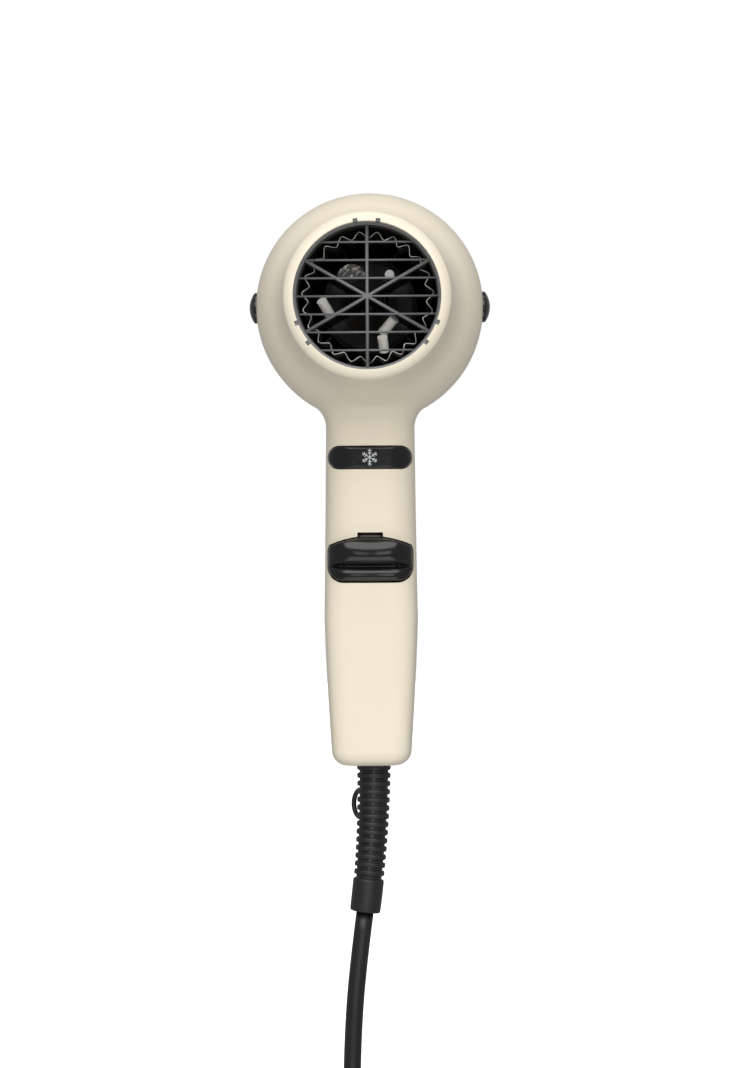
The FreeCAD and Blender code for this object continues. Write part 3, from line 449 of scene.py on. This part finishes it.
def edgeDrop(distance, radius):
    # how far a rounded edge lies behind the face, at distance d from the outline: r - sqrt(r^2 - (r - d)^2)
    near = np.clip(radius - distance, 0, radius)
    return radius - np.sqrt(radius ** 2 - near ** 2)


def paddedFace(name, x, top, bottom, surface, edgeRound, rearY, rows):
    # columns of a face between a lower and an upper outline, closer near both;
    # its edge is rounded and its walls are led back to rearY
    share = (1 - np.cos(np.linspace(0, math.pi, rows))) / 2
    z = bottom + (top - bottom) * share[:, None]
    columns = np.broadcast_to(x, z.shape)
    ends = (x[-1] - np.abs(columns)) * 1.6  # the ends' edge is rounded over a shorter way
    distance = np.minimum(np.minimum(top - z, z - bottom), np.maximum(ends, 0))
    y = surface(columns, z) + edgeDrop(distance, edgeRound)
    face = np.stack([columns, y, z], -1)
    low = face[:1].copy()
    high = face[-1:].copy()
    low[..., 1] = rearY
    high[..., 1] = rearY
    return gridMesh(name, np.concatenate([low, face, high]), closedU=False, closedV=True, capEnds=True)


def rockerSurface(x, z):
    # y of the face: a high mean of pad, lip and base in side view, fading to the ends with
    # the plan's superellipse (1 - |x/a|^p)^(1/p)
    r = rockerSet
    dz = z - r["middleZ"]
    lift = r["creaseLift"] * x * x / (2 * r["archRadius"])
    pad = r["padStand"] * bump(dz - lift, r["padMiddle"], r["padBelow"] + lift, r["padAbove"], r["padPower"])
    lip = r["lipStand"] * bump(dz, r["lipMiddle"], r["lipBelow"], r["lipAbove"], r["lipPower"])
    side = (pad ** r["blend"] + lip ** r["blend"] + r["baseStand"] ** r["blend"]) ** (1 / r["blend"])
    plan = np.clip(1 - np.abs(x / r["planHalf"]) ** r["planPower"], 0, 1) ** (1 / r["planPower"])
    return r["pivotY"] + r["planBack"] - (side + r["planBack"]) * plan


def makeRocker():
    # outline: a bar with quarter-circle corners under an arch, whichever is lower
    half = rockerSet["halfWidth"] - rockerSet["play"]
    x = half * np.sin(np.linspace(-math.pi / 2, math.pi / 2, rockerSet["columns"]))
    corner = rockerSet["cornerRadius"]
    past = np.clip(np.abs(x) - (half - corner), 0, corner)
    bar = rockerSet["halfHeight"] - corner + np.sqrt(corner ** 2 - past ** 2)
    arch = rockerSet["halfHeight"] - rockerSet["archRadius"] + np.sqrt(rockerSet["archRadius"] ** 2 - x * x)
    top = rockerSet["middleZ"] + np.minimum(bar, arch) - rockerSet["play"]
    bottom = rockerSet["middleZ"] - bar + rockerSet["play"]
    return paddedFace("rockerPad", x, top, bottom, rockerSurface, rockerSet["edgeRound"], rockerSet["rearY"],
                      rockerSet["rows"])


def roundedBlock(name, middle, half, power=5.0, rows=24, columns=32):
    # a superellipsoid, a block with soft edges: each half size times a signed power of cosine and sine
    v = np.linspace(-math.pi / 2, math.pi / 2, rows)[:, None]
    u = np.linspace(0, 2 * math.pi, columns, endpoint=False)[None, :]

    def soft(value):
        return np.sign(value) * np.abs(value) ** (2 / power)

    x = middle[0] + half[0] * soft(np.cos(v)) * soft(np.cos(u))
    y = middle[1] + half[1] * soft(np.cos(v)) * soft(np.sin(u))
    z = middle[2] + half[2] * soft(np.sin(v)) * np.ones_like(u)
    return gridMesh(name, np.stack([x, y, z], -1))


sharpPower = 40.0


def cutBlocks(piece, blocks):
    # takes sharp blocks, each a middle and half sizes, out of a closed piece
    for middle, half in blocks:
        tool = roundedBlock("tool", middle, half, power=sharpPower)
        modifier = piece.modifiers.new("cut", "BOOLEAN")
        modifier.object = tool
        modifier.solver = "EXACT"
        graph = bpy.context.evaluated_depsgraph_get()
        mesh = bpy.data.meshes.new_from_object(piece.evaluated_get(graph))
        piece.modifiers.clear()
        piece.data = mesh
        bpy.data.objects.remove(tool)


rocker = makeRocker()
pivot = rockerSet["pivotY"]
middleZ = rockerSet["middleZ"]
armRoomY = pivot + rockerSet["armRoomBehind"]
cutBlocks(rocker, [
    ((0, pivot + rockerSet["pinRoomBehind"], middleZ), rockerSet["pinRoom"]),
    ((-rockerSet["armX"], armRoomY, middleZ), rockerSet["armRoom"]),
    ((rockerSet["armX"], armRoomY, middleZ), rockerSet["armRoom"]),
])
rockerTab = roundedBlock("rockerTab", rockerSet["tabMiddle"], rockerSet["tabHalf"])
for piece in (rocker, rockerTab):
    piece.data.materials.append(blackAbs)
    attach(piece, "rocker")
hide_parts("rocker_button")
print("rocker ready")


# lint filter's gauze, stretched over the filter's wires

gauzeSet = dict(
    behindWires=0.95 * mm,
    rimWidth=1.4 * mm,
    thickness=0.25 * mm,
    columns=64,
)


def makeGauze():
    # a thin disc: circles grow from the middle on one face and shrink back on the other
    low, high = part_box("filter_mesh")
    radius = (high[0] - low[0]) / 2 - gauzeSet["rimWidth"]
    y = low[1] + gauzeSet["behindWires"]
    middle = (low[2] + high[2]) / 2
    reach = np.array([0.0, 0.5, 1.0, 1.0, 0.5, 0.0]) * radius
    depth = y + np.array([0.0, 0.0, 0.0, 1.0, 1.0, 1.0]) * gauzeSet["thickness"]
    angle = np.linspace(0, 2 * math.pi, gauzeSet["columns"], endpoint=False)
    x = reach[:, None] * np.cos(angle)
    z = middle + reach[:, None] * np.sin(angle)
    return gridMesh("filterGauze", np.stack([x, depth[:, None] + 0 * x, z], -1), smooth=False)


gauze = makeGauze()
gauze.data.materials.append(ductPolyamide)
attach(gauze, "filter_cap")
print("filter gauze ready")


# cool button

coolSet = dict(
    middleZ=77.0 * mm,
    halfWidth=17.45 * mm,
    halfHeight=4.55 * mm,
    proud=0.76 * mm,       # over the handle's skin
    edgeRound=0.9 * mm,
    rearY=-13.3 * mm,
    columns=141,
    rows=41,
)


handleSet = dict(
    top=111.0 * mm,
    reach=101.0 * mm,
    # size at the top, and how it has changed one reach below
    halfWidth=(18.45 * mm, 1.05 * mm),
    front=(-20.0 * mm, -1.0 * mm),
    back=(22.0 * mm, -7.2 * mm),
    power=3,
)


def handleFront(x, z, proud):
    # front of the handle's upper part: (1 - |x/a|^p)^(1/p), its size changing evenly down the handle
    down = (handleSet["top"] - z) / handleSet["reach"]
    halfWidth = handleSet["halfWidth"][0] + handleSet["halfWidth"][1] * down + proud
    front = handleSet["front"][0] + handleSet["front"][1] * down - proud
    back = handleSet["back"][0] + handleSet["back"][1] * down + proud
    power = handleSet["power"]
    across = np.clip(1 - np.abs(x / halfWidth) ** power, 0, 1) ** (1 / power)
    return (front + back) / 2 - (back - front) / 2 * across


def makeCoolButton():
    # outline: a bar with half-circle ends; its face follows the handle
    half = coolSet["halfWidth"]
    x = half * np.sin(np.linspace(-math.pi / 2, math.pi / 2, coolSet["columns"]))
    past = np.clip(np.abs(x) - (half - coolSet["halfHeight"]), 0, None)
    reach = np.sqrt(np.clip(coolSet["halfHeight"] ** 2 - past ** 2, 0, None))
    return paddedFace("coolPill", x, coolSet["middleZ"] + reach, coolSet["middleZ"] - reach,
                      lambda cx, cz: handleFront(cx, cz, coolSet["proud"]), coolSet["edgeRound"],
                      coolSet["rearY"], coolSet["rows"])


coolPill = makeCoolButton()
coolPill.data.materials.append(blackAbs)
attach(coolPill, "cool_button")
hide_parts("cool_button")
print("cool button ready")


# front grille

grilleSet = dict(
    frontY=-66.9 * mm,
    backY=-64.45 * mm,
    innerRadius=28.8 * mm,
    outerRadius=31.4 * mm,
    barPitch=7.3 * mm,
    barHalf=0.46 * mm,
    spokeHalf=0.72 * mm,
    edgeSoft=0.35 * mm,
    intoRim=0.4 * mm,       # how far bars and spokes run into the rim
    barRows=3,              # bars above and below the middle one
    spokeAngles=(30, 90, 150),
    tabMiddles=(90, 210, 330),
    tabAngle=8.7,           # degrees from a pair's middle to each tab
    tabHalf=0.75 * mm,
    tabInner=30.05 * mm,
    tabOuter=31.1 * mm,
    tabFrontY=-71.1 * mm,
    tabBackY=-65.0 * mm,
    columns=144,
    around=20,
)


def barBetween(name, start, end, half, depth):
    # a bar between two points in XZ, at the grille's mid-depth; its section is an oval, cosine by sine
    angle = np.linspace(0, 2 * math.pi, grilleSet["around"], endpoint=False)
    across = half * np.sign(np.cos(angle)) * np.abs(np.cos(angle)) ** 0.8
    along = np.linspace(0, 1, 3)[:, None]
    way = np.array([end[0] - start[0], end[1] - start[1]])
    way = way / np.linalg.norm(way)
    middleY = (grilleSet["frontY"] + grilleSet["backY"]) / 2
    x = start[0] + (end[0] - start[0]) * along - way[1] * across
    z = barrelZ + start[1] + (end[1] - start[1]) * along + way[0] * across
    y = middleY + depth * np.sin(angle) + 0 * along
    return gridMesh(name, np.stack([x, y, z], -1), capEnds=True)


def makeGrille():
    # the rim is an eight-sided section turned about the barrel's axis
    front, back = grilleSet["frontY"], grilleSet["backY"]
    inner, outer = grilleSet["innerRadius"], grilleSet["outerRadius"]
    soft = grilleSet["edgeSoft"]
    profile = np.array([(front + soft, inner), (front, inner + soft),
                        (front, outer - soft), (front + soft, outer),
                        (back - soft, outer), (back, outer - soft),
                        (back, inner + soft), (back - soft, inner)])
    angle = np.linspace(0, 2 * math.pi, grilleSet["columns"], endpoint=False)
    ring = np.stack([profile[:, 1:] * np.cos(angle), profile[:, :1] + 0 * angle,
                     barrelZ + profile[:, 1:] * np.sin(angle)], -1)
    pieces = [gridMesh("grilleRim", ring, closedV=True)]
    reach = inner + grilleSet["intoRim"]
    half = (back - front) / 2
    for row in range(-grilleSet["barRows"], grilleSet["barRows"] + 1):
        z = row * grilleSet["barPitch"]
        x = math.sqrt(reach ** 2 - z ** 2)
        pieces.append(barBetween("grilleBar", (-x, z), (x, z), grilleSet["barHalf"], half))
    for degrees in grilleSet["spokeAngles"]:
        c, d = reach * math.cos(math.radians(degrees)), reach * math.sin(math.radians(degrees))
        pieces.append(barBetween("grilleSpoke", (-c, -d), (c, d), grilleSet["spokeHalf"], half * 1.05))
    return pieces


def makeGrilleTabs():
    # six small blocks in the lip's notches, in pairs
    pieces = []
    for middle in grilleSet["tabMiddles"]:
        for side in (-1, 1):
            angle = math.radians(middle + side * grilleSet["tabAngle"])
            c, d = math.cos(angle), math.sin(angle)
            rim = np.array([-1, 1, 1, -1]) * grilleSet["tabHalf"]
            out = np.array([grilleSet["tabInner"]] * 2 + [grilleSet["tabOuter"]] * 2)
            y = np.full(4, grilleSet["tabFrontY"])
            corners = np.stack([out * c - rim * d, y, barrelZ + out * d + rim * c], -1)
            deep = corners.copy()
            deep[:, 1] = grilleSet["tabBackY"]
            pieces.append(gridMesh("grilleTab", np.stack([corners, deep]), capEnds=True, smooth=False))
    return pieces


for index, piece in enumerate(makeGrille() + makeGrilleTabs()):
    piece.data.materials.append(grillePolyamide)
    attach(piece, "housing")
    if index == 0:
        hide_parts("front_grille")
print("grille ready")


# heating wire

wireSet = dict(
    rows=6,
    frontY=-58.0 * mm,
    pitch=7.4 * mm,
    waves=23,
    inner=23.95 * mm,
    outer=27.1 * mm,
    radius=0.29 * mm,
    shortest=0.78,  # of the lowest wave's height
    sharpness=0.8,  # 1 is a zigzag, 0 a sine
    sway=0.02,      # radians that a row wanders sideways
    bow=0.3 * mm,   # to and fro along the barrel within a wave
    samples=18,     # along one wave
    around=7,
)


def tubeAlong(name, lines, radius, around, closed=True):
    # tubes round lines of shape (tubes, samples, 3): a circle in the plane across each sample's direction
    ahead = np.roll(lines, -1, 1) - np.roll(lines, 1, 1)
    if not closed:
        ahead[:, 0] = lines[:, 1] - lines[:, 0]
        ahead[:, -1] = lines[:, -1] - lines[:, -2]
    way = ahead / np.linalg.norm(ahead, axis=-1, keepdims=True)
    side = np.cross(way, (0.31, 1.0, 0.17))
    side /= np.linalg.norm(side, axis=-1, keepdims=True)
    up = np.cross(way, side)
    angle = np.linspace(0, 2 * math.pi, around, endpoint=False)
    ring = (side[..., None, :] * np.cos(angle)[:, None] + up[..., None, :] * np.sin(angle)[:, None]) * radius
    points = lines[..., None, :] + ring
    pieces = []
    for tube in points:
        pieces.append(gridMesh(name, tube, closedV=closed, capEnds=not closed))
    return pieces


def makeHeatingWire():
    # each row is a ring whose radius is a softened zigzag of the angle, asin(k sin) / asin(k);
    # every half wave has its own height
    chance = np.random.default_rng(7)
    count = wireSet["waves"] * wireSet["samples"]
    lines = []
    for row in range(wireSet["rows"]):
        turn = np.arange(count) / count
        phase = turn * wireSet["waves"]
        wave = np.arcsin(wireSet["sharpness"] * np.sin(2 * math.pi * phase)) / np.arcsin(wireSet["sharpness"])
        tall = chance.uniform(wireSet["shortest"], 1.0, wireSet["waves"] * 2)
        amount = np.interp(phase * 2, np.arange(wireSet["waves"] * 2 + 1), np.append(tall, tall[0]))
        middle = (wireSet["inner"] + wireSet["outer"]) / 2
        radius = middle + (wireSet["outer"] - wireSet["inner"]) / 2 * wave * amount
        angle = 2 * math.pi * turn + wireSet["sway"] * np.sin(3 * 2 * math.pi * turn + row)
        bow = wireSet["bow"] * np.sin(2 * math.pi * phase + 1.2)
        y = wireSet["frontY"] + row * wireSet["pitch"] + bow + 0.4 * mm
        lines.append(np.stack([radius * np.cos(angle), y, barrelZ + radius * np.sin(angle)], -1))
    return tubeAlong("heatingWire", np.array(lines), wireSet["radius"], wireSet["around"])


for index, piece in enumerate(makeHeatingWire()):
    # rows behind the front one take the darker copy of the nichrome: painted shade
    piece.data.materials.append(nichrome if index == 0 else shadowedNichrome)
    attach(piece, "housing")
    if index == 0:
        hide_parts("heater_wires")
print("heating wire ready")


# strain relief

reliefSet = dict(
    x=0.9 * mm,
    y=-8.6 * mm,
    top=-51.8 * mm,
    length=62.2 * mm,
    lean=math.radians(7.5),
    ribs=14,
    pitch=3.4 * mm,
    ribLength=2.3 * mm,
    ribRadius=7.1 * mm,
    narrowing=0.7 * mm,
    ribDepth=1.05 * mm,
    rootRadius=4.9 * mm,    # inside the handle's foot
    ribPower=3.2,
    columns=64,
    samplesPerRib=16,
    # the smooth end: distance along it and radius there
    sleeveAlong=np.array([0.0, 0.1, 0.35, 0.8, 1.4, 4.0, 8.0, 12.0, 13.4, 13.9, 14.15, 14.2]) * mm,
    sleeveRadius=np.array([5.3, 5.9, 6.3, 6.48, 6.5, 6.5, 6.48, 6.45, 6.4, 6.2, 5.7, 3.8]) * mm,
)

loopSet = dict(
    out=8.4 * mm,           # eye's middle from the relief's line
    outReach=5.2 * mm,
    drop=17.0 * mm,         # below the handle's foot
    dropReach=6.0 * mm,
    halfOpen=2.45,          # radians each way of the oval that are drawn
    turned=math.radians(128),
    thickness=1.05 * mm,    # radius of its section
    samples=48,
    around=16,
)


def onRelief(along, across, depth):
    # a point by its distance along the relief's bent middle line, across it (towards +X) and along Y
    bendRadius = reliefSet["length"] / reliefSet["lean"]
    turn = along / bendRadius
    x = reliefSet["x"] - bendRadius * (1 - np.cos(turn)) + across * np.cos(turn)
    z = reliefSet["top"] - bendRadius * np.sin(turn) - across * np.sin(turn)
    return np.stack([x, reliefSet["y"] + depth, z], -1)


def makeRelief():
    # radius along the middle line: a groove that narrows rib by rib, a rounded hump per rib, a smooth end
    ribsEnd = reliefSet["ribs"] * reliefSet["pitch"]
    along = np.linspace(-2.0 * mm, ribsEnd, reliefSet["ribs"] * reliefSet["samplesPerRib"] + 9)
    number = np.clip(np.floor(along / reliefSet["pitch"]), 0, reliefSet["ribs"] - 1)
    into = along - number * reliefSet["pitch"]
    half = reliefSet["ribLength"] / 2
    rib = bump(into, half, half, half, reliefSet["ribPower"])
    narrower = reliefSet["narrowing"] * number / (reliefSet["ribs"] - 1)
    groove = reliefSet["ribRadius"] - narrower - reliefSet["ribDepth"]
    radius = groove + reliefSet["ribDepth"] * rib
    radius[along < 0] = reliefSet["rootRadius"]
    start = ribsEnd + 0.2 * mm
    along = np.concatenate([along, start + reliefSet["sleeveAlong"]])
    radius = np.concatenate([radius, reliefSet["sleeveRadius"]])
    angle = np.linspace(0, 2 * math.pi, reliefSet["columns"], endpoint=False)
    across = radius[:, None] * np.cos(angle)
    depth = radius[:, None] * np.sin(angle)
    return gridMesh("ribbedRelief", onRelief(along[:, None] + 0 * angle, across, depth), capEnds=True)


def makeSpine():
    # short bridges between the ribs, at the front and at the back
    pieces = []
    for rib in range(reliefSet["ribs"] - 1):
        for side in (-1, 1):
            along = (rib + 0.84) * reliefSet["pitch"]
            radius = reliefSet["ribRadius"] - reliefSet["narrowing"] * rib / (reliefSet["ribs"] - 1)
            middle = onRelief(np.array(along), np.array(0.0), np.array(side * (radius - 1.0 * mm)))
            pieces.append(roundedBlock("reliefBridge", middle, (1.1 * mm, 0.75 * mm, 1.0 * mm), 4.0, 12, 16))
    return pieces


def makeHangLoop():
    # an eye out of the relief's rear left: a round section along an open oval, cosine out by sine down
    angle = np.linspace(-loopSet["halfOpen"], loopSet["halfOpen"], loopSet["samples"])
    out = loopSet["out"] + loopSet["outReach"] * np.cos(angle)
    drop = loopSet["drop"] + loopSet["dropReach"] * np.sin(angle)
    line = onRelief(drop, out * math.cos(loopSet["turned"]), out * math.sin(loopSet["turned"]))
    return tubeAlong("hangLoop", line[None], loopSet["thickness"], loopSet["around"], closed=False)


reliefPieces = [makeRelief()] + makeSpine() + makeHangLoop()
for index, piece in enumerate(reliefPieces):
    piece.data.materials.append(reliefPvc)
    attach(piece, "housing")
    if index == 0:
        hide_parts("strain_relief")
print("strain relief ready")


# backdrop and light

def makeStage():
    # a wide flat square, unlit white like the background
    side = np.array([-1, 1]) * studio["floorHalf"]
    x, y = np.meshgrid(side, side)
    stage = gridMesh("studioFloor", np.stack([x, y, cordSet["floor"] - 1 * mm + 0 * x], -1), closedU=False)
    material, shader = newMaterial("floorPaper", Roughness=0.9)
    shader.inputs["Base Color"].default_value = (0.9, 0.9, 0.9, 1)
    shader.inputs["Emission Color"].default_value = (*studio["backdrop"], 1)
    shader.inputs["Emission Strength"].default_value = 1.0
    stage.data.materials.append(material)
    stage.visible_diffuse = False
    stage.visible_glossy = False
    stage.visible_shadow = False


def makeLights():
    for name, (place, size, watts, aim) in studio["lights"].items():
        data = bpy.data.lights.new(name, "AREA")
        data.shape = "RECTANGLE"
        data.size, data.size_y = size
        data.energy = watts
        light = bpy.data.objects.new(name, data)
        bpy.context.scene.collection.objects.link(light)
        light.location = place
        light.rotation_euler = (Vector(place) - Vector(aim)).to_track_quat("Z", "Y").to_euler()
    # the background is white to look at and grey as a light
    world = bpy.data.worlds.new("studioWorld")
    world.use_nodes = True
    lit = world.node_tree.nodes["Background"]
    grey = studio["worldGrey"]
    lit.inputs["Color"].default_value = (grey, grey, grey, 1)
    seen = addNode(world, "ShaderNodeBackground")
    seen.inputs["Color"].default_value = (*studio["backdrop"], 1)
    rays = addNode(world, "ShaderNodeLightPath")
    both = addNode(world, "ShaderNodeMixShader", {"Fac": 0.0}, Fac=(rays, "Is Camera Ray"))
    world.node_tree.links.new(lit.outputs["Background"], both.inputs[1])
    world.node_tree.links.new(seen.outputs["Background"], both.inputs[2])
    join(world, both, "Shader", world.node_tree.nodes["World Output"], "Surface")
    bpy.context.scene.world = world
    bpy.context.scene.view_settings.view_transform = "Standard"


makeStage()
makeLights()
print("studio ready")
